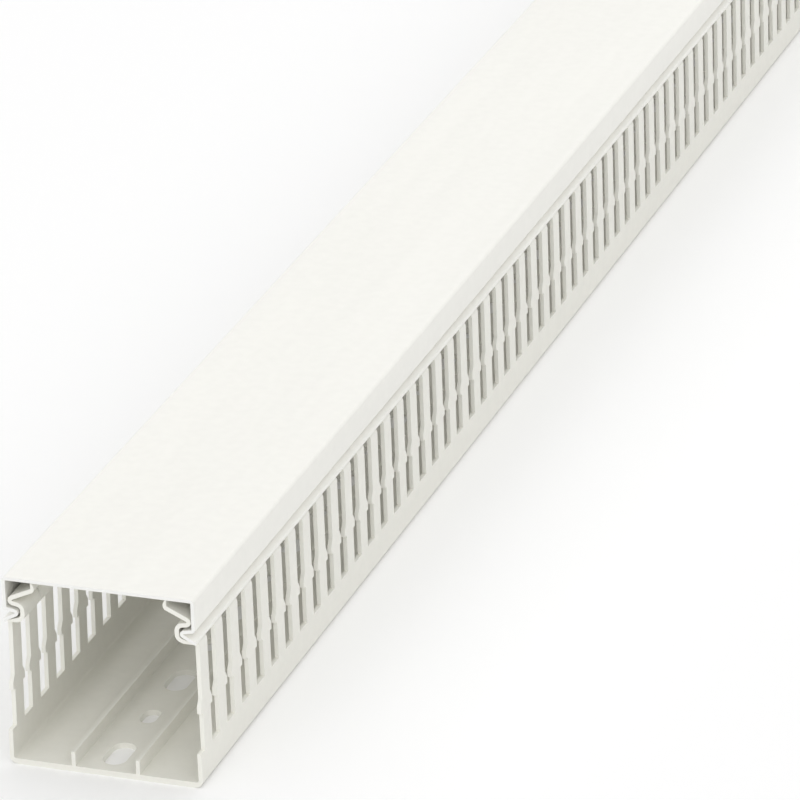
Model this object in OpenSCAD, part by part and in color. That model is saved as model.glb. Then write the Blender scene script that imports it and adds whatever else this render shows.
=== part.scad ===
// Slotted wire duct: a trough with finger walls and the cover that snaps over it.
// Millimetres. X runs across the duct, Y along it, Z up from the underside of the floor.
// The origin is the middle of the underside.

/* [Duct] */
// Length of the stock
duct_length = 1000; // [250:250:1000]
// Width across the foot of the two walls
duct_width = 60; // [50:5:120]
// Height from the underside to the top of the closed cover
duct_height = 60; // [50:5:120]

/* [Trough] */
// Thickness of the walls, the fingers and their hooks
wall = 1.3; // [1:0.1:1.5]
// Thickness of the floor
floor_thickness = 1.8; // [1.4:0.1:2.4]
// How far each wall leans inwards between its foot and its shoulder
wall_lean = 0.5; // [0:0.1:1]
// Radius of the rounded edge under each wall
foot_radius = 2.5; // [1.6:0.1:3]
// Height of the two ribs above the floor
rib_height = 4.5; // [3:0.5:6]
// Thickness of each rib
rib_thickness = 1.2; // [1:0.1:1.6]
// Distance between the middles of the ribs
rib_spacing = 20; // [16:1:30]

/* [Side slots] */
// Distance from one slot to the next
slot_pitch = 12.5; // [10:0.5:16]
// Width of a slot between two fingers
slot_width = 6.4; // [5:0.1:7]
// Height of the slots' lower ends above the underside
slot_bottom = 11; // [8:0.5:16]
// Width between the two nubs that narrow a slot
neck_width = 3.6; // [3:0.1:4.5]
// Height of the nubs' lower steps above the underside
neck_bottom = 23; // [20:0.5:26]
// Height of the straight part of a nub
neck_height = 2.2; // [1.5:0.1:3]
// Height of the slope above a nub
neck_slope = 2.3; // [1.5:0.1:3]
// Width of the slit between two finger heads
slit_width = 1; // [0.8:0.1:1.5]
// Drop from the top of the cover to the lower ends of the finger heads
head_drop = 14.3; // [13.8:0.1:14.8]

/* [Mounting holes] */
// Distance between neighbouring holes in the floor
hole_pitch = 25; // [20:0.5:30]
// Distance from the end of the duct to the middle of its first hole
hole_start = 11; // [9:0.5:14]
// Width of a long hole
long_hole_width = 7.2; // [5:0.1:8]
// Length of a long hole, end to end
long_hole_length = 14.4; // [10:0.1:16]
// Width of a short hole
short_hole_width = 5; // [4:0.1:6]
// Length of a short hole, end to end
short_hole_length = 8.8; // [7:0.1:10]

/* [Cover] */
// Thickness of the cover
cover_thickness = 1; // [0.8:0.1:1.2]
// Radius of the cover's long outer edges
cover_edge_radius = 1.2; // [1.2:0.1:1.6]
// Height of the cover's side down to its fold
skirt_height = 10.4; // [10:0.1:11]
// How far the fold reaches inwards from the cover's side
fold_depth = 4.6; // [4.2:0.1:5]

/* [Fit] */
// Gap between the cover's lower leg and the shoulders that it rests over
seat_gap = 0.2; // [0.15:0.05:0.4]
// Gap between the tip of the fold and the hooks
fold_gap = 0.5; // [0.3:0.1:0.8]
// Gap between the upper side of the fold and the hooks
head_gap = 0.9; // [0.6:0.1:1.2]
// Gap between the hooks and the inside of the cover
cover_gap = 0.3; // [0.2:0.05:0.5]

/* [Hidden] */

// The hook and the fold are drawn in (u, v): u inwards from the closed duct's outer face,
// v down from the top of the cover. Angles are in degrees from the horizontal.
shoulder_angle = 18;
hook_angle = 10;
lip_angle = 24.7;
fold_upper_angle = 12;
fold_lower_angle = 28;
// Bend radii of the middle of the material.
shoulder_radius = 1.9;
belly_radius = 1.8;
bend_radius = 0.9;
fold_radius = 0.62;
// The lip's end and the thin nib that curls up from it.
lip_reach = 8.9;
nib_width = 0.4;
nib_bulge = 0.85;
nib_bulge_v = 2.9;
arc_steps = 2;
// How far a cut runs past the material.
beyond = 1;
hole_facets = 48;

cover_half = duct_width / 2 - wall_lean;
head_z = duct_height - head_drop;

function polar(r, angle) = [r * cos(angle), r * sin(angle)];
function unit(p) = p / norm(p);
function left_of(d) = [-d[1], d[0]];
function xy(corner) = [corner[0], corner[1]];
function reversed(points) = [for (i = [len(points) - 1:-1:0]) points[i]];
function without_first(points) = [for (i = [1:len(points) - 1]) points[i]];

// Where two lines meet, each given by a point and an angle.
function crossing(p, a, q, b) =
    let (d = polar(1, a), e = polar(1, b), w = q - p)
    p + d * (w[0] * e[1] - w[1] * e[0]) / (d[0] * e[1] - d[1] * e[0]);

// One bend of a strip's middle line, moved sideways by s: an arc, or a sharp corner where
// the arc would have no radius left.
function bend_points(corners, i, s) =
    let (
        p = xy(corners[i]),
        d0 = unit(p - xy(corners[i - 1])),
        d1 = unit(xy(corners[i + 1]) - p),
        turn = atan2(d0[0] * d1[1] - d0[1] * d1[0], d0 * d1),
        side = sign(turn),
        middle = unit(left_of(d0) + left_of(d1)) / cos(turn / 2),
        r = corners[i][2] - side * s,
        centre = p + middle * side * corners[i][2],
        start = atan2(-side * left_of(d0)[1], -side * left_of(d0)[0]),
        steps = abs(turn) > 100 ? arc_steps + 1 : arc_steps
    )
    r < 0.3 ? [p + middle * s]
        : [for (k = [0:steps]) centre + polar(r, start + turn * k / steps)];

// One side of a strip whose middle line runs through corners [u, v, bend radius].
function side_points(corners, s) =
    let (n = len(corners) - 1)
    concat(
        [xy(corners[0]) + left_of(unit(xy(corners[1]) - xy(corners[0]))) * s],
        [for (i = [1:n - 1]) each bend_points(corners, i, s)],
        [xy(corners[n]) + left_of(unit(xy(corners[n]) - xy(corners[n - 1]))) * s]
    );

// Cover: the middle line of one side, from the middle of its top to the free edge.
fold_top = [cover_thickness / 2, skirt_height - cover_thickness / 2];
fold_centre_u = fold_depth - cover_thickness / 2 - fold_radius;
fold_line_v = fold_top[1] + tan(fold_upper_angle) * (fold_centre_u - fold_top[0]);
fold_tip = [fold_centre_u, fold_line_v + fold_radius / cos(fold_upper_angle)]
    + polar(
        fold_radius / sin((fold_upper_angle + fold_lower_angle) / 2),
        (fold_upper_angle - fold_lower_angle) / 2
    );
free_edge_v = fold_tip[1] + fold_tip[0] * tan(fold_lower_angle);
cover_line = [
    [cover_half, cover_thickness / 2, 0],
    [cover_thickness / 2, cover_thickness / 2, cover_edge_radius - cover_thickness / 2],
    [fold_top[0], fold_top[1], cover_thickness / 2],
    [fold_tip[0], fold_tip[1], fold_radius],
    [0, free_edge_v, 0]
];

// Trough: the middle line of one finger. The shoulder's arc stays clear of the cover's
// lower leg by seat_gap, and the belly stays clear of the fold by fold_gap and head_gap.
shoulder_centre_u = wall / 2 + shoulder_radius;
shoulder_reach = shoulder_radius + wall / 2 + seat_gap + cover_thickness / 2;
shoulder_centre_v = free_edge_v
    + (shoulder_reach - sin(fold_lower_angle) * shoulder_centre_u) / cos(fold_lower_angle);
shoulder_line = [shoulder_centre_u, shoulder_centre_v]
    - shoulder_radius * [sin(shoulder_angle), cos(shoulder_angle)];
shoulder = crossing([wall / 2, 0], 90, shoulder_line, -shoulder_angle);
belly = [fold_depth + fold_gap + wall / 2, 0];
belly_low = crossing(belly, 90, shoulder_line, -shoulder_angle);
hook_line = [fold_centre_u, fold_line_v - (cover_thickness + wall) / 2 - head_gap];
belly_high = crossing(belly, 90, hook_line, hook_angle);
bend_u = cover_thickness + cover_gap + wall / 2 + bend_radius;
bend = [bend_u, crossing([bend_u, 0], 90, hook_line, hook_angle)[1] - bend_radius / cos(hook_angle)]
    - polar(bend_radius / sin((hook_angle + lip_angle) / 2), (hook_angle - lip_angle) / 2);
lip = bend + polar((lip_reach - bend[0]) / cos(lip_angle), -lip_angle);

// The middle line from the floor's middle out to the foot and up to the lip. The floor is
// thicker than the walls, so the line of its upper side lies higher than that of its underside.
function finger_line(floor_v, radius) = [
    [cover_half, floor_v, 0],
    [wall / 2 - wall_lean, floor_v, radius],
    [shoulder[0], shoulder[1], shoulder_radius],
    [belly_low[0], belly_low[1], belly_radius],
    [belly_high[0], belly_high[1], belly_radius],
    [bend[0], bend[1], bend_radius],
    [lip[0], lip[1], 0]
];
outer_side = side_points(
    finger_line(duct_height - wall / 2, foot_radius - wall / 2), -wall / 2
);
inner_side = side_points(
    finger_line(duct_height - floor_thickness + wall / 2, wall), wall / 2
);
nib_top = [outer_side[len(outer_side) - 1][0], cover_thickness + cover_gap];
nib = [
    nib_top,
    nib_top + [nib_width, 0],
    [lip_reach + nib_bulge, nib_bulge_v]
];

// From (u, v) to the right half of the section, in X and Z.
function placed(points) = [for (p = points) [cover_half - p[0], duct_height - p[1]]];
function mirrored(points) = [for (p = reversed(points)) [-p[0], p[1]]];

rib_out = (rib_spacing + rib_thickness) / 2;
rib_in = (rib_spacing - rib_thickness) / 2;
rib_top = floor_thickness + rib_height;
trough_half = concat(
    placed(concat(without_first(outer_side), nib, reversed(without_first(inner_side)))),
    [[rib_out, floor_thickness], [rib_out, rib_top], [rib_in, rib_top], [rib_in, floor_thickness]]
);

// The free edge of the cover is cut flush with its side.
cover_outer = side_points(cover_line, cover_thickness / 2);
cover_inner = side_points(cover_line, -cover_thickness / 2);
edge_half = cover_thickness / 2 / cos(fold_lower_angle);
function without_ends(points) = [for (i = [1:len(points) - 2]) points[i]];
cover_half_outline = placed(concat(
    without_ends(cover_outer),
    [[0, free_edge_v - edge_half], [0, free_edge_v + edge_half]],
    reversed(without_ends(cover_inner))
));

module along_duct(half_outline) {
    translate([0, duct_length / 2, 0]) rotate([90, 0, 0])
        linear_extrude(height = duct_length)
            polygon(concat(half_outline, mirrored(half_outline)));
}

// One side slot, in Y and Z. It is cut through both walls at once.
slot_half = [
    [slot_width / 2, slot_bottom],
    [slot_width / 2, neck_bottom],
    [neck_width / 2, neck_bottom],
    [neck_width / 2, neck_bottom + neck_height],
    [slot_width / 2, neck_bottom + neck_height + neck_slope],
    [slot_width / 2, head_z],
    [slit_width / 2, head_z],
    [slit_width / 2, duct_height + beyond]
];

module side_slots() {
    for (k = [0:floor(duct_length / slot_pitch)])
        translate([-duct_width, k * slot_pitch - duct_length / 2, 0])
            rotate([90, 0, 90]) linear_extrude(height = 2 * duct_width)
                polygon(concat(slot_half, mirrored(slot_half)));
}

module floor_hole(width, length) {
    run = length - width;
    translate([0, 0, -beyond]) linear_extrude(height = floor_thickness + 2 * beyond) {
        for (side = [-1, 1])
            translate([0, side * run / 2]) circle(d = width, $fn = hole_facets);
        square([width, run], center = true);
    }
}

module floor_holes() {
    for (k = [0:floor((duct_length - 2 * hole_start) / hole_pitch)])
        translate([0, hole_start + k * hole_pitch - duct_length / 2, 0])
            if (k % 2 == 0) floor_hole(long_hole_width, long_hole_length);
            else floor_hole(short_hole_width, short_hole_length);
}

module trough() {
    color([0.89, 0.89, 0.87]) difference() {
        along_duct(trough_half);
        side_slots();
        floor_holes();
    }
}

module cover() {
    color([0.93, 0.93, 0.91]) along_duct(cover_half_outline);
}

trough();
cover();
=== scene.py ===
"""Slotted wire duct: the finger-wall trough and its clip-on cover, as detailed surfaces.

Lengths are metres in the properties. The section is worked out in (u, v): u inwards from the
closed duct's outer face, v down from the top of the cover. Positions along the duct are Y.
"""

import math

import bmesh
import bpy
import numpy as np
from bpy.props import FloatProperty, FloatVectorProperty, IntProperty, PointerProperty
from mathutils import Matrix, Vector


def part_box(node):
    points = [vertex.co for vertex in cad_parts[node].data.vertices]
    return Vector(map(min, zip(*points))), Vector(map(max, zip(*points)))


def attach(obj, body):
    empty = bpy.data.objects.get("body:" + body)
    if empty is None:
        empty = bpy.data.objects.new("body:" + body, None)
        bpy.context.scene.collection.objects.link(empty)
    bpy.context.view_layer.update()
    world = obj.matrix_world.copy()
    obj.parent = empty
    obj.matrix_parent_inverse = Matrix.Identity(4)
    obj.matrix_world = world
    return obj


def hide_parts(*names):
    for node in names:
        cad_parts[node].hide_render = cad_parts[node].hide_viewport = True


bl_info = {
    "name": "Slotted Wire Duct",
    "version": (1, 0, 0),
    "blender": (4, 5, 0),
    "location": "View3D > Sidebar > Wire Duct",
    "description": "Builds a slotted wire duct, its cover and a plain stage",
    "category": "Object",
}

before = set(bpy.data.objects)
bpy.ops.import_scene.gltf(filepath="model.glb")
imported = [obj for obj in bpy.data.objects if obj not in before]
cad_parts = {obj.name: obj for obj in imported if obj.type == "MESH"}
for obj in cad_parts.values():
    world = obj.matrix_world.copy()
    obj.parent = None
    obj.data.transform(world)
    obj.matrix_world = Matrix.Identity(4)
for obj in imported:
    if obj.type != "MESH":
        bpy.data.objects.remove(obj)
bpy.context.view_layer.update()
trough_low, trough_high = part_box("trough")
cover_low, cover_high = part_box("cover")


# Angles of the section in degrees from the horizontal: the cover's fold, the shoulder, and
# the hook and its lip.
FOLD_UPPER_ANGLE = 12.0
FOLD_LOWER_ANGLE = 28.0
SHOULDER_ANGLE = 18.0
HOOK_ANGLE = 10.0
LIP_ANGLE = 24.7
# Bend radii of the middle of the material, in millimetres.
FOLD_RADIUS = 0.62
SHOULDER_RADIUS = 1.9
BELLY_RADIUS = 1.8
BEND_RADIUS = 0.9
# The inside of a sharp bend keeps this radius.
LEAST_RADIUS = 0.12
# How far in the lip ends, and the thin nib that curls up from it, in millimetres.
LIP_REACH = 8.9
NIB_WIDTH = 0.4
NIB_BULGE = 0.85
NIB_BULGE_DROP = 2.9
# Edges that turn more than this many degrees stay sharp.
SHARP_ANGLE = 32
# Steps in a quarter of a floor hole's round end.
HOLE_STEPS = 8
# Sizes of the plastic's patterns, in metres: the mottle of the filler, the grain of a cut
# face, and the broad bands across and along the extrusion.
MOTTLE_SIZE = 0.003125
GRAIN_SIZE = 0.0003846
BAND_WIDTH = 0.0111
BAND_LENGTH = 0.167
# The two soft lights: where each comes from, and how wide it looks in degrees.
OVERHEAD_FROM = (0.12, 0.1, 1.0)
OVERHEAD_SPREAD = 120.0
FRONT_FROM = (0.2, -1.0, 0.3)
FRONT_SPREAD = 80.0
FLOOR_REACH = 30.0  # metres from the middle to each edge


# ---------------------------------------------------------------- bent strips


def unit(vector):
    """The vector divided by its length."""
    return vector / np.linalg.norm(vector)


def left_of(direction):
    """The direction turned a quarter turn: (a, b) becomes (-b, a)."""
    return np.array([-direction[1], direction[0]])


def polar(radius, angle):
    """The point at that radius and angle in degrees: (r cos a, r sin a)."""
    return radius * np.array([math.cos(math.radians(angle)), math.sin(math.radians(angle))])


def crossing(p, a, q, b):
    """Where the line through p at angle a meets the line through q at angle b."""
    d = polar(1.0, a)
    e = polar(1.0, b)
    w = np.asarray(q) - np.asarray(p)
    return np.asarray(p) + d * (w[0] * e[1] - w[1] * e[0]) / (d[0] * e[1] - d[1] * e[0])


def bend_arc(corners, i, offset, steps, cut_drop=None):
    """One bend of a strip's middle line moved sideways by offset.

    The centre lies on the bisector, at the moved corner plus the radius over cos(half the
    turn). The points are centre + r (cos t, sin t), with t running evenly through the turn.
    With cut_drop, the bend is divided where it reaches that v, and the points are evenly
    spaced before the division and again after it.
    """
    p = np.array(corners[i][:2])
    d0 = unit(p - np.array(corners[i - 1][:2]))
    d1 = unit(np.array(corners[i + 1][:2]) - p)
    turn = math.atan2(d0[0] * d1[1] - d0[1] * d1[0], float(d0 @ d1))
    side = math.copysign(1.0, turn)
    middle = unit(left_of(d0) + left_of(d1)) / math.cos(turn / 2)
    radius = max(corners[i][2] - side * offset, LEAST_RADIUS)
    centre = p + middle * (offset + side * radius)
    start = math.atan2(-side * left_of(d0)[1], -side * left_of(d0)[0])
    t = start + turn * np.linspace(0.0, 1.0, steps + 1)
    if cut_drop is not None:
        reached = math.asin((cut_drop - centre[1]) / radius)
        reached = min((reached, math.pi - reached), key=lambda a: abs(math.remainder(
            a - start - turn / 2, 2 * math.pi)))
        share = math.remainder(reached - start, 2 * math.pi) / turn
        before = np.linspace(0.0, share, steps + 2)
        t = start + turn * np.concatenate([before, np.linspace(share, 1.0, steps)[1:]])
    return centre + radius * np.stack([np.cos(t), np.sin(t)], axis=1)


def strip_side(corners, offset, steps):
    """One side of a strip whose middle line runs through corners (u, v, bend radius).

    Returns the first end, one array of points for each bend, and the last end.
    """
    first = np.array(corners[0][:2])
    ahead = unit(np.array(corners[1][:2]) - first)
    last = np.array(corners[-1][:2])
    behind = unit(last - np.array(corners[-2][:2]))
    bends = [bend_arc(corners, i, offset, steps) for i in range(1, len(corners) - 1)]
    return first + left_of(ahead) * offset, bends, last + left_of(behind) * offset


def spaced(a, b, parts):
    """The points that cut the line from a to b into equal parts, without its two ends."""
    t = np.linspace(0.0, 1.0, parts + 1)[1:-1, None]
    return np.asarray(a) + t * (np.asarray(b) - np.asarray(a))


def at_drop(a, b, drop):
    """The point of the line from a to b that lies at that v."""
    t = (drop - a[1]) / (b[1] - a[1])
    return np.asarray(a) + t * (np.asarray(b) - np.asarray(a))


# ---------------------------------------------------------------- mesh from arrays

class Surface:
    """Collects points and faces from whole arrays, with a mark on each cut face."""

    def __init__(self):
        self.points = []
        self.faces = []
        self.cuts = []
        self.count = 0

    def add_points(self, points):
        """Adds an (..., 3) array of points in millimetres and returns their numbers."""
        points = np.asarray(points, float)
        shape = points.shape[:-1]
        numbers = self.count + np.arange(int(np.prod(shape))).reshape(shape)
        self.points.append(points.reshape(-1, 3))
        self.count += numbers.size
        return numbers

    def add_faces(self, *corners, cut=0.0):
        """Adds one face for each place in the corner arrays, which broadcast together."""
        stack = np.stack(np.broadcast_arrays(*corners), axis=-1)
        stack = stack.reshape(-1, stack.shape[-1])
        self.faces.append(stack)
        self.cuts.append(np.full(len(stack), cut, np.float32))

    def add_loops(self, loops, cut=0.0):
        """Adds an (..., n) array of point numbers as faces with n corners."""
        loops = np.asarray(loops).reshape(-1, np.asarray(loops).shape[-1])
        self.faces.append(loops)
        self.cuts.append(np.full(len(loops), cut, np.float32))

    def make_object(self, name):
        """Joins points that coincide and makes a closed mesh object in metres."""
        points = np.concatenate(self.points)
        grid = np.round(points / 1e-4).astype(np.int64)
        first, joined = np.unique(grid, axis=0, return_index=True, return_inverse=True)[1:]
        joined = joined.reshape(-1)
        faces = [row for block in self.faces for row in joined[block].tolist()]
        mesh = bpy.data.meshes.new(name)
        mesh.from_pydata((points[first] * 1e-3).tolist(), [], faces)
        mark = mesh.attributes.new("cut_face", "FLOAT", "FACE")
        mark.data.foreach_set("value", np.concatenate(self.cuts))
        work = bmesh.new()
        work.from_mesh(mesh)
        loose = sum(len(edge.link_faces) != 2 for edge in work.edges)
        if loose:
            work.free()
            raise RuntimeError(f"{name}: {loose} edges don't join two faces")
        bmesh.ops.recalc_face_normals(work, faces=work.faces[:])
        if work.calc_volume(signed=True) < 0:
            bmesh.ops.reverse_faces(work, faces=work.faces[:])
        work.to_mesh(mesh)
        work.free()
        mesh.polygons.foreach_set("use_smooth", np.ones(len(mesh.polygons), bool))
        mesh.set_sharp_from_angle(angle=math.radians(SHARP_ANGLE))
        mesh.update()
        obj = bpy.data.objects.new(name, mesh)
        bpy.context.scene.collection.objects.link(obj)
        shade = obj.modifiers.new("Even flats", "WEIGHTED_NORMAL")
        shade.keep_sharp = True
        return obj


def mm(value):
    """A property's metres as millimetres."""
    return float(value) * 1000.0


# ---------------------------------------------------------------- sizes and colours

def linear(hex_colour):
    """An sRGB colour written in hex as linear light, channel by channel."""
    c = np.array([int(hex_colour[i:i + 2], 16) for i in (0, 2, 4)]) / 255.0
    return tuple(np.where(c <= 0.04045, c / 12.92, ((c + 0.055) / 1.055) ** 2.4).tolist())


class DuctTroughSizes(bpy.types.PropertyGroup):
    """Sizes of the trough."""

    wall: FloatProperty(
        name="Wall", description="Thickness of the walls and fingers",
        default=0.0013, unit="LENGTH", precision=5)
    floor: FloatProperty(
        name="Floor", description="Thickness of the floor",
        default=0.0018, unit="LENGTH", precision=5)
    lean: FloatProperty(
        name="Lean", description="How far each wall leans inwards below its shoulder",
        default=0.0005, unit="LENGTH", precision=5)
    foot_radius: FloatProperty(
        name="Foot Radius", description="Radius of the rounded edge under each wall",
        default=0.0025, unit="LENGTH", precision=5)
    rib_height: FloatProperty(
        name="Rib Height", description="Height of the two ribs above the floor",
        default=0.0045, unit="LENGTH", precision=5)
    rib_thickness: FloatProperty(
        name="Rib Thickness", description="Thickness of each rib",
        default=0.0012, unit="LENGTH", precision=5)
    rib_spacing: FloatProperty(
        name="Rib Spacing", description="Distance between the middles of the ribs",
        default=0.020, unit="LENGTH", precision=5)
    slot_pitch: FloatProperty(
        name="Slot Pitch", description="Distance from one side slot to the next",
        default=0.0125, unit="LENGTH", precision=5)
    slot_width: FloatProperty(
        name="Slot Width", description="Width of a slot between two fingers",
        default=0.0064, unit="LENGTH", precision=5)
    slot_bottom: FloatProperty(
        name="Slot Bottom", description="Height of the slots' lower ends",
        default=0.011, unit="LENGTH", precision=5)
    neck_width: FloatProperty(
        name="Neck Width", description="Width of a slot between its two nubs",
        default=0.0036, unit="LENGTH", precision=5)
    neck_bottom: FloatProperty(
        name="Neck Bottom", description="Height of the nubs' lower steps",
        default=0.023, unit="LENGTH", precision=5)
    neck_height: FloatProperty(
        name="Neck Height", description="Height of the straight part of a nub",
        default=0.0022, unit="LENGTH", precision=5)
    neck_slope: FloatProperty(
        name="Neck Slope", description="Height of the slope above a nub",
        default=0.0023, unit="LENGTH", precision=5)
    slit_width: FloatProperty(
        name="Slit Width", description="Width of the slit between two finger heads",
        default=0.001, unit="LENGTH", precision=5)
    head_drop: FloatProperty(
        name="Head Drop", description="Drop from the cover's top to the heads' lower ends",
        default=0.0143, unit="LENGTH", precision=5)
    hole_pitch: FloatProperty(
        name="Hole Pitch", description="Distance between neighbouring floor holes",
        default=0.025, unit="LENGTH", precision=5)
    hole_start: FloatProperty(
        name="Hole Start", description="Distance from the duct's end to its first hole",
        default=0.011, unit="LENGTH", precision=5)
    long_hole_width: FloatProperty(
        name="Long Hole Width", description="Width of a long floor hole",
        default=0.0072, unit="LENGTH", precision=5)
    long_hole_length: FloatProperty(
        name="Long Hole Length", description="Length of a long floor hole, end to end",
        default=0.0144, unit="LENGTH", precision=5)
    short_hole_width: FloatProperty(
        name="Short Hole Width", description="Width of a short floor hole",
        default=0.005, unit="LENGTH", precision=5)
    short_hole_length: FloatProperty(
        name="Short Hole Length", description="Length of a short floor hole, end to end",
        default=0.0088, unit="LENGTH", precision=5)
    bend_steps: IntProperty(
        name="Bend Steps", description="Flat steps in each bend of a finger",
        default=4, min=2, max=8)
    colour: FloatVectorProperty(
        name="Colour", description="Colour of the trough's rigid PVC",
        subtype="COLOR", default=linear("ECEBE3"), min=0.0, max=1.0)


class DuctCoverSizes(bpy.types.PropertyGroup):
    """Sizes of the cover and of the gaps that it leaves over the fingers."""

    thickness: FloatProperty(
        name="Thickness", description="Thickness of the cover",
        default=0.001, unit="LENGTH", precision=5)
    edge_radius: FloatProperty(
        name="Edge Radius", description="Radius of the cover's long outer edges",
        default=0.0012, unit="LENGTH", precision=5)
    skirt_height: FloatProperty(
        name="Skirt Height", description="Height of the cover's side down to its fold",
        default=0.0104, unit="LENGTH", precision=5)
    fold_depth: FloatProperty(
        name="Fold Depth", description="How far the fold reaches inwards",
        default=0.0046, unit="LENGTH", precision=5)
    seat_gap: FloatProperty(
        name="Seat Gap", description="Gap between the cover's lower leg and the shoulders",
        default=0.0002, unit="LENGTH", precision=5)
    fold_gap: FloatProperty(
        name="Fold Gap", description="Gap between the tip of the fold and the hooks",
        default=0.0005, unit="LENGTH", precision=5)
    head_gap: FloatProperty(
        name="Head Gap", description="Gap between the upper side of the fold and the hooks",
        default=0.0009, unit="LENGTH", precision=5)
    cover_gap: FloatProperty(
        name="Cover Gap", description="Gap between the hooks and the inside of the cover",
        default=0.0003, unit="LENGTH", precision=5)
    bend_steps: IntProperty(
        name="Bend Steps", description="Flat steps in each bend of the cover",
        default=8, min=2, max=16)
    colour: FloatVectorProperty(
        name="Colour", description="Colour of the cover's rigid PVC",
        subtype="COLOR", default=linear("F2F1EB"), min=0.0, max=1.0)


class DuctFinish(bpy.types.PropertyGroup):
    """Finish of the extruded rigid PVC."""

    roughness: FloatProperty(
        name="Roughness", description="Roughness of the extruded faces",
        default=0.42, min=0.05, max=1.0, subtype="FACTOR")
    cut_roughness: FloatProperty(
        name="Cut Roughness", description="Roughness of the punched and sawn faces",
        default=0.62, min=0.05, max=1.0, subtype="FACTOR")
    line_pitch: FloatProperty(
        name="Line Pitch", description="Distance between the faint extrusion lines",
        default=0.0011, unit="LENGTH", precision=5)
    line_depth: FloatProperty(
        name="Line Depth", description="Depth of the faint extrusion lines",
        default=0.00001, unit="LENGTH", precision=6)


class DuctStage(bpy.types.PropertyGroup):
    """Camera, floor and light."""

    camera_place: FloatVectorProperty(
        name="Camera Place", description="Place of the camera",
        subtype="TRANSLATION", unit="LENGTH", default=(0.5852, -1.8959, 0.7760))
    camera_yaw: FloatProperty(
        name="Camera Yaw", description="How far the view turns from +Y towards -X",
        subtype="ANGLE", default=math.radians(19.41))
    camera_pitch: FloatProperty(
        name="Camera Pitch", description="How far the view tips down",
        subtype="ANGLE", default=math.radians(23.59))
    camera_roll: FloatProperty(
        name="Camera Roll", description="How far the camera turns about its view",
        subtype="ANGLE", default=math.radians(-1.58))
    lens: FloatProperty(
        name="Lens", description="Focal length on a 36 mm wide sensor, in millimetres",
        default=263.4, min=10.0, max=600.0)
    overhead_strength: FloatProperty(
        name="Overhead Light", description="Strength of the large soft light from above",
        default=0.54, min=0.0)
    front_strength: FloatProperty(
        name="Front Light", description="Strength of the low soft light on the near end",
        default=0.26, min=0.0)
    sky_strength: FloatProperty(
        name="Sky Light", description="Strength of the even light from all round",
        default=0.4, min=0.0)
    floor_colour: FloatVectorProperty(
        name="Floor Colour", description="Colour of the plain floor",
        subtype="COLOR", default=linear("FCFCFC"), min=0.0, max=1.0)


# ---------------------------------------------------------------- section of the duct

def cover_lines(cover):
    """Middle line of one side of the cover, and the values that the hooks are set by.

    The side runs down from the top edge to a sharp inward fold at the upper angle, which
    turns back at the lower angle and ends at the plane u = 0.
    """
    t = mm(cover.thickness)
    half = mm(cover_high[0] - cover_low[0]) / 2
    top = np.array([t / 2, mm(cover.skirt_height) - t / 2])
    centre_u = mm(cover.fold_depth) - t / 2 - FOLD_RADIUS
    line_v = top[1] + math.tan(math.radians(FOLD_UPPER_ANGLE)) * (centre_u - top[0])
    tip = np.array([centre_u, line_v + FOLD_RADIUS / math.cos(math.radians(FOLD_UPPER_ANGLE))])
    half_open = math.radians((FOLD_UPPER_ANGLE + FOLD_LOWER_ANGLE) / 2)
    tip = tip + polar(FOLD_RADIUS / math.sin(half_open), (FOLD_UPPER_ANGLE - FOLD_LOWER_ANGLE) / 2)
    edge_v = tip[1] + tip[0] * math.tan(math.radians(FOLD_LOWER_ANGLE))
    line = [
        (half, t / 2, 0.0),
        (t / 2, t / 2, mm(cover.edge_radius) - t / 2),
        (top[0], top[1], t / 2),
        (tip[0], tip[1], FOLD_RADIUS),
        (0.0, edge_v, 0.0),
    ]
    values = {
        "half": half, "thickness": t, "centre_u": centre_u, "line_v": line_v,
        "edge_v": edge_v,
        "edge_half": t / 2 / math.cos(math.radians(FOLD_LOWER_ANGLE)),
    }
    return line, values


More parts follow.
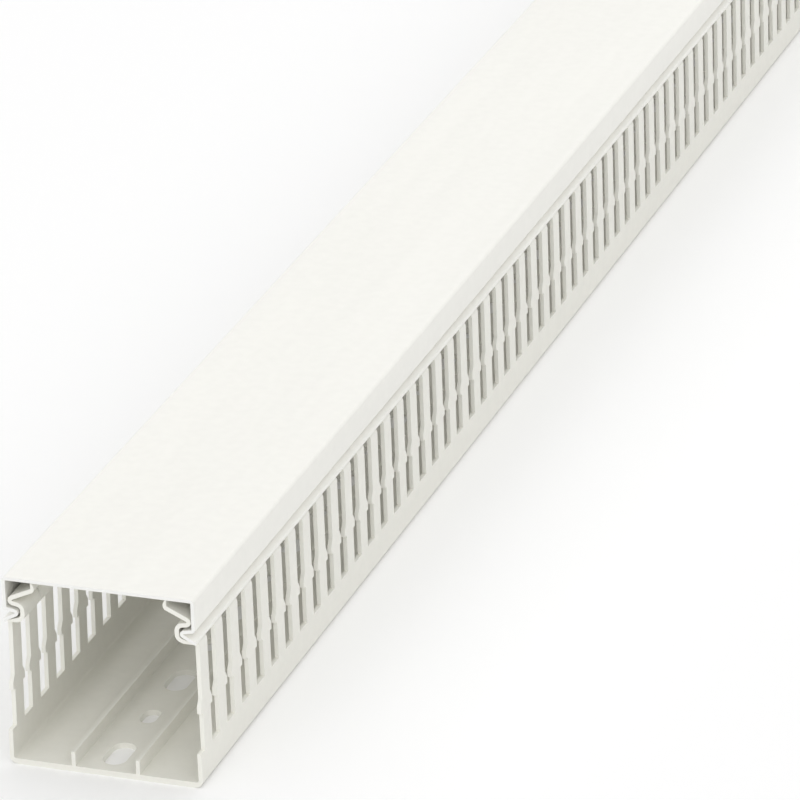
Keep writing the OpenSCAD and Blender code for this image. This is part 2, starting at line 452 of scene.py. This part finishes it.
def finger_line(trough, cover, floor_v, radius):
    """Middle line of one finger, from the floor's middle to the end of its lip.

    Each straight part is moved off the cover's fold by the named gap, and the corners are
    where neighbouring straight parts meet.
    """
    cover_values = cover_lines(cover)[1]
    wall = mm(trough.wall)
    t = cover_values["thickness"]
    lower = math.radians(FOLD_LOWER_ANGLE)
    centre_u = wall / 2 + SHOULDER_RADIUS
    reach = SHOULDER_RADIUS + wall / 2 + mm(cover.seat_gap) + t / 2
    centre_v = cover_values["edge_v"] + (reach - math.sin(lower) * centre_u) / math.cos(lower)
    rise = math.radians(SHOULDER_ANGLE)
    on_shoulder = np.array([centre_u, centre_v])
    on_shoulder = on_shoulder - SHOULDER_RADIUS * np.array([math.sin(rise), math.cos(rise)])
    shoulder = crossing([wall / 2, 0.0], 90.0, on_shoulder, -SHOULDER_ANGLE)
    belly = [mm(cover.fold_depth) + mm(cover.fold_gap) + wall / 2, 0.0]
    belly_low = crossing(belly, 90.0, on_shoulder, -SHOULDER_ANGLE)
    hook_v = cover_values["line_v"] - (t + wall) / 2 - mm(cover.head_gap)
    on_hook = [cover_values["centre_u"], hook_v]
    belly_high = crossing(belly, 90.0, on_hook, HOOK_ANGLE)
    bend_u = t + mm(cover.cover_gap) + wall / 2 + BEND_RADIUS
    bend = np.array([bend_u, crossing([bend_u, 0.0], 90.0, on_hook, HOOK_ANGLE)[1]])
    bend[1] -= BEND_RADIUS / math.cos(math.radians(HOOK_ANGLE))
    half_open = math.radians((HOOK_ANGLE + LIP_ANGLE) / 2)
    bend = bend - polar(BEND_RADIUS / math.sin(half_open), (HOOK_ANGLE - LIP_ANGLE) / 2)
    lip = bend + polar((LIP_REACH - bend[0]) / math.cos(math.radians(LIP_ANGLE)), -LIP_ANGLE)
    foot_u = wall / 2 - mm(trough.lean)
    return [
        (cover_values["half"], floor_v, 0.0),
        (foot_u, floor_v, radius),
        (shoulder[0], shoulder[1], SHOULDER_RADIUS),
        (belly_low[0], belly_low[1], BELLY_RADIUS),
        (belly_high[0], belly_high[1], BELLY_RADIUS),
        (bend[0], bend[1], BEND_RADIUS),
        (lip[0], lip[1], 0.0),
    ]


def finger_stations(trough, cover, height):
    """Pairs of outer and inner points up one finger, with its half width at each pair.

    A step in the width is two pairs at the same place. Returns outer, inner, half widths,
    the numbers of the lower pairs of the steps, and the two foot bends.
    """
    wall = mm(trough.wall)
    steps = trough.bend_steps
    outer_line = finger_line(trough, cover, height - wall / 2, mm(trough.foot_radius) - wall / 2)
    inner_line = finger_line(trough, cover, height - mm(trough.floor) + wall / 2, wall)
    outer_bends, outer_end = strip_side(outer_line, -wall / 2, steps)[1:]
    inner_bends, inner_end = strip_side(inner_line, wall / 2, steps)[1:]
    pitch = mm(trough.slot_pitch)
    window = (pitch - mm(trough.slot_width)) / 2
    neck = (pitch - mm(trough.neck_width)) / 2
    head = (pitch - mm(trough.slit_width)) / 2
    neck_low = mm(trough.neck_bottom)
    neck_top = neck_low + mm(trough.neck_height)
    levels = np.array([
        mm(trough.slot_bottom), neck_low, neck_low, neck_top, neck_top + mm(trough.neck_slope)])
    widths = [window, window, neck, neck, window]
    wall_outer = (outer_bends[0][-1], outer_bends[1][0])
    wall_inner = (inner_bends[0][-1], inner_bends[1][0])
    outer = [at_drop(*wall_outer, height - z) for z in levels]
    inner = [at_drop(*wall_inner, height - z) for z in levels]
    # The heads' lower ends cut the outer side within the shoulder's bend, and the inner side
    # on the slope past it.
    shoulder = bend_arc(outer_line, 2, -wall / 2, steps, mm(trough.head_drop))
    cut_inner = at_drop(inner_bends[1][-1], inner_bends[2][0], mm(trough.head_drop))
    outer += [*shoulder[:steps + 2], *shoulder[steps + 1:]]
    inner += [*inner_bends[1], cut_inner, cut_inner]
    inner += [*spaced(cut_inner, inner_bends[2][0], steps)]
    widths += [window] * (steps + 2) + [head] * steps
    outer += [*outer_bends[2], *outer_bends[3], *outer_bends[4], outer_end]
    inner += [*inner_bends[2], *inner_bends[3], *inner_bends[4], inner_end]
    widths += [head] * (3 * (steps + 1) + 1)
    # The nib: from the lip's end it swells and narrows to a thin edge under the cover. Its
    # inner side is a curve through the bulge: (1-t)^2 a + 2t(1-t) b + t^2 c.
    top = np.array([outer_end[0], mm(cover.thickness) + mm(cover.cover_gap)])
    tip = top + np.array([NIB_WIDTH, 0.0])
    bulge = np.array([LIP_REACH + NIB_BULGE, NIB_BULGE_DROP])
    t = np.linspace(0.0, 1.0, steps + 1)[1:, None]
    outer += [*(outer_end + t * (top - outer_end))]
    lift = 2 * bulge - (inner_end + tip) / 2
    inner += [*((1 - t) ** 2 * inner_end + 2 * t * (1 - t) * lift + t ** 2 * tip)]
    widths += [head] * steps
    stair = [1, len(levels) + steps + 1]
    return np.array(outer), np.array(inner), np.array(widths), stair, outer_bends[0], inner_bends[0]


# ---------------------------------------------------------------- trough

def add_fingers(surface, trough, stations, half, height, length):
    """All fingers of both walls at once: a grid of stations by edges for each finger."""
    outer, inner, widths, stair = stations[:4]
    pitch = mm(trough.slot_pitch)
    centres = -length / 2 + pitch * (np.arange(int(round(length / pitch))) + 0.5)
    sides = np.array([1.0, -1.0])
    section = np.stack([outer, inner], axis=1)
    edges = np.array([-1.0, 1.0])
    shape = (2, len(centres), len(outer), 2, 2)
    points = np.empty(shape + (3,))
    x = sides[:, None, None] * (half - section[None, :, :, 0])
    points[..., 0] = x[:, None, :, None, :]
    y = centres[:, None, None] + widths[None, :, None] * edges
    points[..., 1] = y[None, :, :, :, None]
    points[..., 2] = (height - section[:, :, 1])[None, None, :, None, :]
    n = surface.add_points(points)
    above = np.array(stair) + 1
    plain = np.setdiff1d(np.arange(len(outer) - 1), np.concatenate([stair, above]))
    for face in (0, 1):
        low, high = n[:, :, plain, :, face], n[:, :, plain + 1, :, face]
        surface.add_faces(low[..., 0], low[..., 1], high[..., 1], high[..., 0])
        under, step, over = (n[:, :, above + k, :, face] for k in (-1, 0, 1))
        surface.add_faces(under[..., 0], under[..., 1], over[..., 1], over[..., 0])
        surface.add_faces(step[..., 0], under[..., 0], over[..., 0])
        surface.add_faces(under[..., 1], step[..., 1], over[..., 1])
    for edge in (0, 1):
        low, high = n[:, :, :-1, edge, :], n[:, :, 1:, edge, :]
        surface.add_faces(low[..., 0], high[..., 0], high[..., 1], low[..., 1], cut=1.0)
    top = n[:, :, -1]
    surface.add_faces(top[..., 0, 0], top[..., 1, 0], top[..., 1, 1], top[..., 0, 1])


def channel_profile(trough, stations, half, height):
    """The closed section below the slots, and the place of each of its parts.

    It runs down the right wall's outer side, along the underside, up the left wall, and
    back over the floor and the ribs. Returns the points, the numbers of the underside's and
    the floor's middle points, and of the points before the two gaps in the wall tops.
    """
    outer, inner = stations[0], stations[1]
    outer_foot, inner_foot = stations[4], stations[5]
    rib_out = mm(trough.rib_spacing + trough.rib_thickness) / 2
    rib_in = mm(trough.rib_spacing - trough.rib_thickness) / 2
    floor = mm(trough.floor)
    rib_top = floor + mm(trough.rib_height)

    def placed(points):
        points = np.atleast_2d(points)
        return np.stack([half - points[:, 0], height - points[:, 1]], axis=1)

    right_outer = np.concatenate([placed(outer[0]), placed(outer_foot[::-1]), [[rib_in, 0.0]]])
    right_inner = np.concatenate([
        [[rib_in, floor], [rib_in, rib_top], [rib_out, rib_top], [rib_out, floor]],
        placed(inner_foot), placed(inner[0])])
    flip = np.array([-1.0, 1.0])
    profile = np.concatenate([
        right_outer, [[0.0, 0.0]], right_outer[::-1] * flip,
        right_inner[::-1] * flip, [[0.0, floor]], right_inner])
    a = len(right_outer)
    b = len(right_inner)
    under, over = a, 2 * a + b + 1
    wall_tops = [2 * a, 2 * a + 2 * b + 1]
    return profile, under, over, wall_tops


def add_channel(surface, trough, stations, half, height, length):
    """The floor, feet, ribs and low walls: one closed profile carried along the duct.

    Its cross lines stand at both edges of each slot. Where a slot is, the profile is closed
    over the top of the low wall, and along the middle the holes' plates take its place.
    """
    profile, under, over, wall_tops = channel_profile(trough, stations, half, height)
    pitch = mm(trough.slot_pitch)
    slots = -length / 2 + pitch * np.arange(int(round(length / pitch)) + 1)
    reach = mm(trough.slot_width) / 2
    lines = np.clip(np.stack([slots - reach, slots + reach], axis=1), -length / 2, length / 2)
    lines = lines.reshape(-1)
    points = np.empty((len(profile), len(lines), 3))
    points[..., 0] = profile[:, None, 0]
    points[..., 1] = lines
    points[..., 2] = profile[:, None, 1]
    n = surface.add_points(points)
    count = len(profile)
    along = np.setdiff1d(np.arange(count), [under - 1, under, over - 1, over, *wall_tops])
    after = (along + 1) % count
    surface.add_faces(n[along, :-1], n[after, :-1], n[after, 1:], n[along, 1:])
    for low in wall_tops:
        high = (low + 1) % count
        surface.add_faces(n[low, 0::2], n[high, 0::2], n[high, 1::2], n[low, 1::2], cut=1.0)
    for row in (0, -1):
        surface.add_loops(n[:, row], cut=1.0)
    return n, lines, under, over


def add_floor_middle(surface, trough, channel, length):
    """The strip between the ribs with its row of holes.

    Each hole has a plate that reaches over three cells of the channel's grid. The outline
    of a hole is a half circle, a straight run and a half circle: x = r cos a and
    y = r sin a, moved out by half the run.
    """
    n, lines, under, over = channel
    pitch = mm(trough.hole_pitch)
    holes = int((length - 2 * mm(trough.hole_start)) / pitch + 1e-6) + 1
    centres = -length / 2 + mm(trough.hole_start) + pitch * np.arange(holes)
    is_long = np.arange(holes) % 2 == 0
    width = np.where(is_long, mm(trough.long_hole_width), mm(trough.short_hole_width))
    full = np.where(is_long, mm(trough.long_hole_length), mm(trough.short_hole_length))
    angles = np.radians(np.linspace(90.0, 0.0, HOLE_STEPS + 1))
    angles = np.concatenate([angles, -angles[::-1]])
    run = np.repeat([1.0, -1.0], HOLE_STEPS + 1)
    x = width[:, None] / 2 * np.cos(angles)
    y = width[:, None] / 2 * np.sin(angles) + (full - width)[:, None] / 2 * run
    levels = np.array([0.0, mm(trough.floor)])
    points = np.empty((holes, 2, 2, len(angles), 3))
    points[..., 0] = np.array([1.0, -1.0])[None, None, :, None] * x[:, None, None, :]
    points[..., 1] = (centres[:, None] + y)[:, None, None, :]
    points[..., 2] = levels[None, :, None, None]
    rims = surface.add_points(points)
    first = 1 + 4 * np.arange(holes)
    if lines[first[-1] + 3] > length / 2 - 1e-6:
        raise RuntimeError("the last hole's plate runs past the end of the duct")
    for level, (mid, right, left) in enumerate((
            (under, under - 1, under + 1), (over, over + 1, over - 1))):
        for side, edge in enumerate((right, left)):
            rim = rims[:, level, side]
            border = [n[mid, first], n[edge, first], n[edge, first + 1], n[edge, first + 2],
                      n[edge, first + 3], n[mid, first + 3]]
            loops = np.concatenate([np.stack(border, axis=1), rim], axis=1)
            surface.add_loops(loops)
            gaps = np.arange(0, len(lines), 4)
            gaps = gaps[gaps + 1 < len(lines)]
            surface.add_faces(n[mid, gaps], n[edge, gaps], n[edge, gaps + 1], n[mid, gaps + 1])
    low, high = rims[:, 0], rims[:, 1]
    surface.add_faces(low[..., :-1], low[..., 1:], high[..., 1:], high[..., :-1], cut=1.0)


def build_trough(trough, cover):
    """The whole trough as one closed surface."""
    height = mm(cover_high[2])
    length = mm(trough_high[1] - trough_low[1])
    half = mm(cover_high[0] - cover_low[0]) / 2
    stations = finger_stations(trough, cover, height)
    surface = Surface()
    add_fingers(surface, trough, stations, half, height, length)
    channel = add_channel(surface, trough, stations, half, height, length)
    add_floor_middle(surface, trough, channel, length)
    return surface.make_object("trough_extrusion")


# ---------------------------------------------------------------- cover

def build_cover(cover):
    """The cover as one closed surface: its section carried along the duct."""
    height = mm(cover_high[2])
    length = mm(cover_high[1] - cover_low[1])
    line, values = cover_lines(cover)
    t = values["thickness"]
    steps = cover.bend_steps
    sides = []
    for offset, end_v in ((t / 2, -values["edge_half"]), (-t / 2, values["edge_half"])):
        bends = strip_side(line, offset, steps)[1]
        sides.append(np.concatenate([*bends, [[0.0, values["edge_v"] + end_v]]]))
    section = np.stack(sides, axis=1)
    x = values["half"] - section[..., 0]
    z = height - section[..., 1]
    right = np.stack([x, z], axis=-1)
    left = right[::-1] * np.array([-1.0, 1.0])
    strip = np.concatenate([left, right])
    points = np.empty((len(strip), 2, 2, 3))
    points[..., 0] = strip[:, :, None, 0]
    points[..., 1] = np.array([-length / 2, length / 2])
    points[..., 2] = strip[:, :, None, 1]
    surface = Surface()
    n = surface.add_points(points)
    for face in (0, 1):
        low, high = n[:-1, face], n[1:, face]
        surface.add_faces(low[:, 0], high[:, 0], high[:, 1], low[:, 1])
    for end in (0, 1):
        low, high = n[:-1, :, end], n[1:, :, end]
        surface.add_faces(low[:, 0], high[:, 0], high[:, 1], low[:, 1], cut=1.0)
    for edge in (0, -1):
        surface.add_faces(n[edge, 0, 0], n[edge, 1, 0], n[edge, 1, 1], n[edge, 0, 1])
    return surface.make_object("cover_extrusion")


# ---------------------------------------------------------------- materials

def add_node(tree, kind, inputs=None, **settings):
    """Adds a shader node, sets its fields and input values, and links given outputs."""
    node = tree.nodes.new(kind)
    for field, value in settings.items():
        setattr(node, field, value)
    for name, value in (inputs or {}).items():
        if isinstance(value, bpy.types.NodeSocket):
            tree.links.new(value, node.inputs[name])
        else:
            node.inputs[name].default_value = value
    return node


def new_tree(name):
    """An empty node material and its tree."""
    material = bpy.data.materials.new(name)
    material.use_nodes = True
    material.node_tree.nodes.clear()
    return material, material.node_tree


def rigid_pvc(name, colour, finish):
    """Extruded rigid PVC: satin, with faint lines along the extrusion.

    The punched and sawn faces are rougher, and their colour is a little paler as a painted highlight
    for the light that they catch; the whole is mottled by about one part in a hundred, as filled PVC
    is.
    """
    material, tree = new_tree(name)
    place = add_node(tree, "ShaderNodeTexCoord").outputs["Object"]
    cut = add_node(tree, "ShaderNodeAttribute", attribute_name="cut_face").outputs["Fac"]
    per_metre = 1.0 / finish.line_pitch
    stretched = add_node(tree, "ShaderNodeMapping", {
        "Vector": place, "Scale": (per_metre, per_metre / 250, per_metre)}).outputs["Vector"]
    lines = add_node(tree, "ShaderNodeTexNoise", {
        "Vector": stretched, "Scale": 1.0, "Detail": 3.0, "Roughness": 0.6}).outputs["Fac"]
    broad = add_node(tree, "ShaderNodeMapping", {
        "Vector": place, "Scale": (1 / BAND_WIDTH, 1 / BAND_LENGTH, 1 / BAND_WIDTH)}).outputs["Vector"]
    bands = add_node(tree, "ShaderNodeTexNoise", {
        "Vector": broad, "Scale": 1.0, "Detail": 2.0}).outputs["Fac"]
    mottle = add_node(tree, "ShaderNodeTexNoise", {
        "Vector": place, "Scale": 1 / MOTTLE_SIZE, "Detail": 4.0}).outputs["Fac"]
    grain = add_node(tree, "ShaderNodeTexNoise", {
        "Vector": place, "Scale": 1 / GRAIN_SIZE, "Detail": 2.0}).outputs["Fac"]
    # Colour: the pigment, a touch lighter and darker with the mottle, and paler where cut as a painted
    # highlight.
    base = (*colour, 1.0)
    darker = (*[c * 0.965 for c in base[:3]], 1.0)
    # Cut faces get a lighter colour: painted highlight for the light that they catch, not a tone of
    # the plastic.
    painted_lit_cut = (*[min(c * 1.05, 0.9) for c in base[:3]], 1.0)
    mixed = add_node(tree, "ShaderNodeMath", {0: mottle, 1: bands}, operation="ADD").outputs[0]
    spread = add_node(tree, "ShaderNodeMapRange", {
        "Value": mixed, "From Min": 0.75, "From Max": 1.25}).outputs["Result"]
    pigment = add_node(tree, "ShaderNodeMix", {
        "Factor": spread, 6: darker, 7: base}, data_type="RGBA").outputs[2]
    shade = add_node(tree, "ShaderNodeMix", {
        "Factor": cut, 6: pigment, 7: painted_lit_cut}, data_type="RGBA").outputs[2]
    # Roughness: the satin of the die, a little uneven, and dull where cut.
    satin = add_node(tree, "ShaderNodeMapRange", {
        "Value": lines, "From Min": 0.3, "From Max": 0.7,
        "To Min": finish.roughness - 0.04, "To Max": finish.roughness + 0.05}).outputs["Result"]
    dull = add_node(tree, "ShaderNodeMapRange", {
        "Value": grain, "From Min": 0.3, "From Max": 0.7,
        "To Min": finish.cut_roughness - 0.06,
        "To Max": finish.cut_roughness + 0.06}).outputs["Result"]
    rough = add_node(tree, "ShaderNodeMix", {"Factor": cut, 2: satin, 3: dull}).outputs[0]
    # Height: the lines on extruded faces, and a finer grain where cut.
    relief = add_node(tree, "ShaderNodeMix", {"Factor": cut, 2: lines, 3: grain}).outputs[0]
    bump = add_node(tree, "ShaderNodeBump", {
        "Height": relief, "Distance": finish.line_depth, "Strength": 0.6}).outputs["Normal"]
    surface = add_node(tree, "ShaderNodeBsdfPrincipled", {
        "Base Color": shade, "Roughness": rough, "Normal": bump, "IOR": 1.53})
    add_node(tree, "ShaderNodeOutputMaterial", {"Surface": surface.outputs["BSDF"]})
    return material


def dress(obj, body, node, material):
    """Gives a finished surface its material slot and body, and hides the CAD node that it replaces."""
    obj.data.materials.append(material)
    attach(obj, body)
    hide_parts(node)


# ---------------------------------------------------------------- operators

class DUCT_OT_trough(bpy.types.Operator):
    """Build the trough: floor, ribs, holes and both finger walls"""

    bl_idname = "duct.trough"
    bl_label = "Build Trough"

    def execute(self, context):
        scene = context.scene
        obj = build_trough(scene.duct_trough, scene.duct_cover)
        # Extruded rigid PVC, light grey-white.
        pvc = rigid_pvc("rigid PVC, trough", scene.duct_trough.colour, scene.duct_finish)
        dress(obj, "trough", "trough", pvc)
        return {"FINISHED"}


class DUCT_OT_cover(bpy.types.Operator):
    """Build the cover: top, sides, folds and free edges"""

    bl_idname = "duct.cover"
    bl_label = "Build Cover"

    def execute(self, context):
        scene = context.scene
        obj = build_cover(scene.duct_cover)
        # Extruded rigid PVC, one shade lighter than the trough.
        pvc = rigid_pvc("rigid PVC, cover", scene.duct_cover.colour, scene.duct_finish)
        dress(obj, "cover", "cover", pvc)
        return {"FINISHED"}


def white_to_camera(tree, lit_strength):
    """A white that is lit_strength for the light it gives and 1 where it is looked at.

    Camera, mirror and see-through rays meet the plain white background.
    """
    path = add_node(tree, "ShaderNodeLightPath")
    seen = path.outputs["Is Camera Ray"]
    for name in ("Is Glossy Ray", "Is Transmission Ray"):
        seen = add_node(
            tree, "ShaderNodeMath", {0: seen, 1: path.outputs[name]}, operation="MAXIMUM",
        ).outputs[0]
    strength = add_node(tree, "ShaderNodeMapRange", {
        "Value": seen, "To Min": lit_strength, "To Max": 1.0}).outputs["Result"]
    return add_node(tree, "ShaderNodeBackground", {
        "Color": (1.0, 1.0, 1.0, 1.0), "Strength": strength})


class DUCT_OT_stage(bpy.types.Operator):
    """Set up the floor, the light and the camera"""

    bl_idname = "duct.stage"
    bl_label = "Build Stage"

    def execute(self, context):
        scene = context.scene
        stage = scene.duct_stage
        corners = np.array([[-1, -1, 0], [1, -1, 0], [1, 1, 0], [-1, 1, 0]])
        mesh = bpy.data.meshes.new("studio_floor")
        mesh.from_pydata((corners * FLOOR_REACH).tolist(), [], [(0, 1, 2, 3)])
        floor = bpy.data.objects.new("studio_floor", mesh)
        scene.collection.objects.link(floor)
        # A plain painted floor, matt and near white.
        paint, tree = new_tree("plain pale floor")
        matt = add_node(tree, "ShaderNodeBsdfDiffuse", {"Color": (*stage.floor_colour, 1.0)})
        add_node(tree, "ShaderNodeOutputMaterial", {"Surface": matt.outputs[0]})
        mesh.materials.append(paint)

        world = bpy.data.worlds.new("plain white studio")
        world.use_nodes = True
        tree = world.node_tree
        tree.nodes.clear()
        sky = white_to_camera(tree, stage.sky_strength)
        add_node(tree, "ShaderNodeOutputWorld", {"Surface": sky.outputs[0]})
        scene.world = world

        def soft_light(name, toward, spread, strength):
            lamp = bpy.data.lights.new(name, "SUN")
            lamp.angle = math.radians(spread)
            # At strength 1 it lights a white face that looks at it to plain white.
            lamp.energy = strength * math.pi
            obj = bpy.data.objects.new(name, lamp)
            obj.rotation_euler = Vector(toward).to_track_quat("Z", "Y").to_euler()
            scene.collection.objects.link(obj)

        soft_light("overhead", OVERHEAD_FROM, OVERHEAD_SPREAD, stage.overhead_strength)
        soft_light("front", FRONT_FROM, FRONT_SPREAD, stage.front_strength)

        camera = bpy.data.cameras.new("camera")
        camera.sensor_width = 36.0
        camera.lens = stage.lens
        camera.clip_start = 0.05
        camera.clip_end = 200.0
        obj = bpy.data.objects.new("camera", camera)
        # The view's own axes: right, up and back, then a turn about the line of sight.
        yaw, pitch = stage.camera_yaw, stage.camera_pitch
        ahead = Vector((-math.sin(yaw) * math.cos(pitch), math.cos(yaw) * math.cos(pitch),
                        -math.sin(pitch)))
        right = Vector((math.cos(yaw), math.sin(yaw), 0.0))
        up = right.cross(ahead)
        roll = stage.camera_roll
        turned_right = right * math.cos(roll) + up * math.sin(roll)
        turned_up = up * math.cos(roll) - right * math.sin(roll)
        axes = Matrix((turned_right, turned_up, -ahead)).transposed()
        obj.matrix_world = Matrix.Translation(stage.camera_place) @ axes.to_4x4()
        scene.collection.objects.link(obj)
        scene.camera = obj
        scene.view_settings.view_transform = "Standard"
        return {"FINISHED"}


class DUCT_PT_panel(bpy.types.Panel):
    """Sidebar panel of the wire duct"""

    bl_idname = "DUCT_PT_panel"
    bl_label = "Wire Duct"
    bl_space_type = "VIEW_3D"
    bl_region_type = "UI"
    bl_category = "Wire Duct"

    def draw(self, context):
        layout = self.layout
        scene = context.scene
        for title, group, operator in (
                ("Trough", scene.duct_trough, "duct.trough"),
                ("Cover", scene.duct_cover, "duct.cover"),
                ("Finish", scene.duct_finish, None),
                ("Stage", scene.duct_stage, "duct.stage")):
            box = layout.box()
            box.label(text=title)
            for name in type(group).__annotations__:
                box.prop(group, name)
            if operator:
                box.operator(operator)


classes = (
    DuctTroughSizes, DuctCoverSizes, DuctFinish, DuctStage,
    DUCT_OT_trough, DUCT_OT_cover, DUCT_OT_stage, DUCT_PT_panel,
)


def register():
    """Registers the classes and hangs the settings on the scene."""
    for cls in classes:
        bpy.utils.register_class(cls)
    bpy.types.Scene.duct_trough = PointerProperty(type=DuctTroughSizes)
    bpy.types.Scene.duct_cover = PointerProperty(type=DuctCoverSizes)
    bpy.types.Scene.duct_finish = PointerProperty(type=DuctFinish)
    bpy.types.Scene.duct_stage = PointerProperty(type=DuctStage)


def unregister():
    """Takes the settings off the scene and removes the classes."""
    del bpy.types.Scene.duct_stage
    del bpy.types.Scene.duct_finish
    del bpy.types.Scene.duct_cover
    del bpy.types.Scene.duct_trough
    for cls in reversed(classes):
        bpy.utils.unregister_class(cls)


def main():
    """Builds the whole scene."""
    register()
    bpy.ops.duct.trough()
    bpy.ops.duct.cover()
    bpy.ops.duct.stage()


if __name__ == "__main__":
    main()
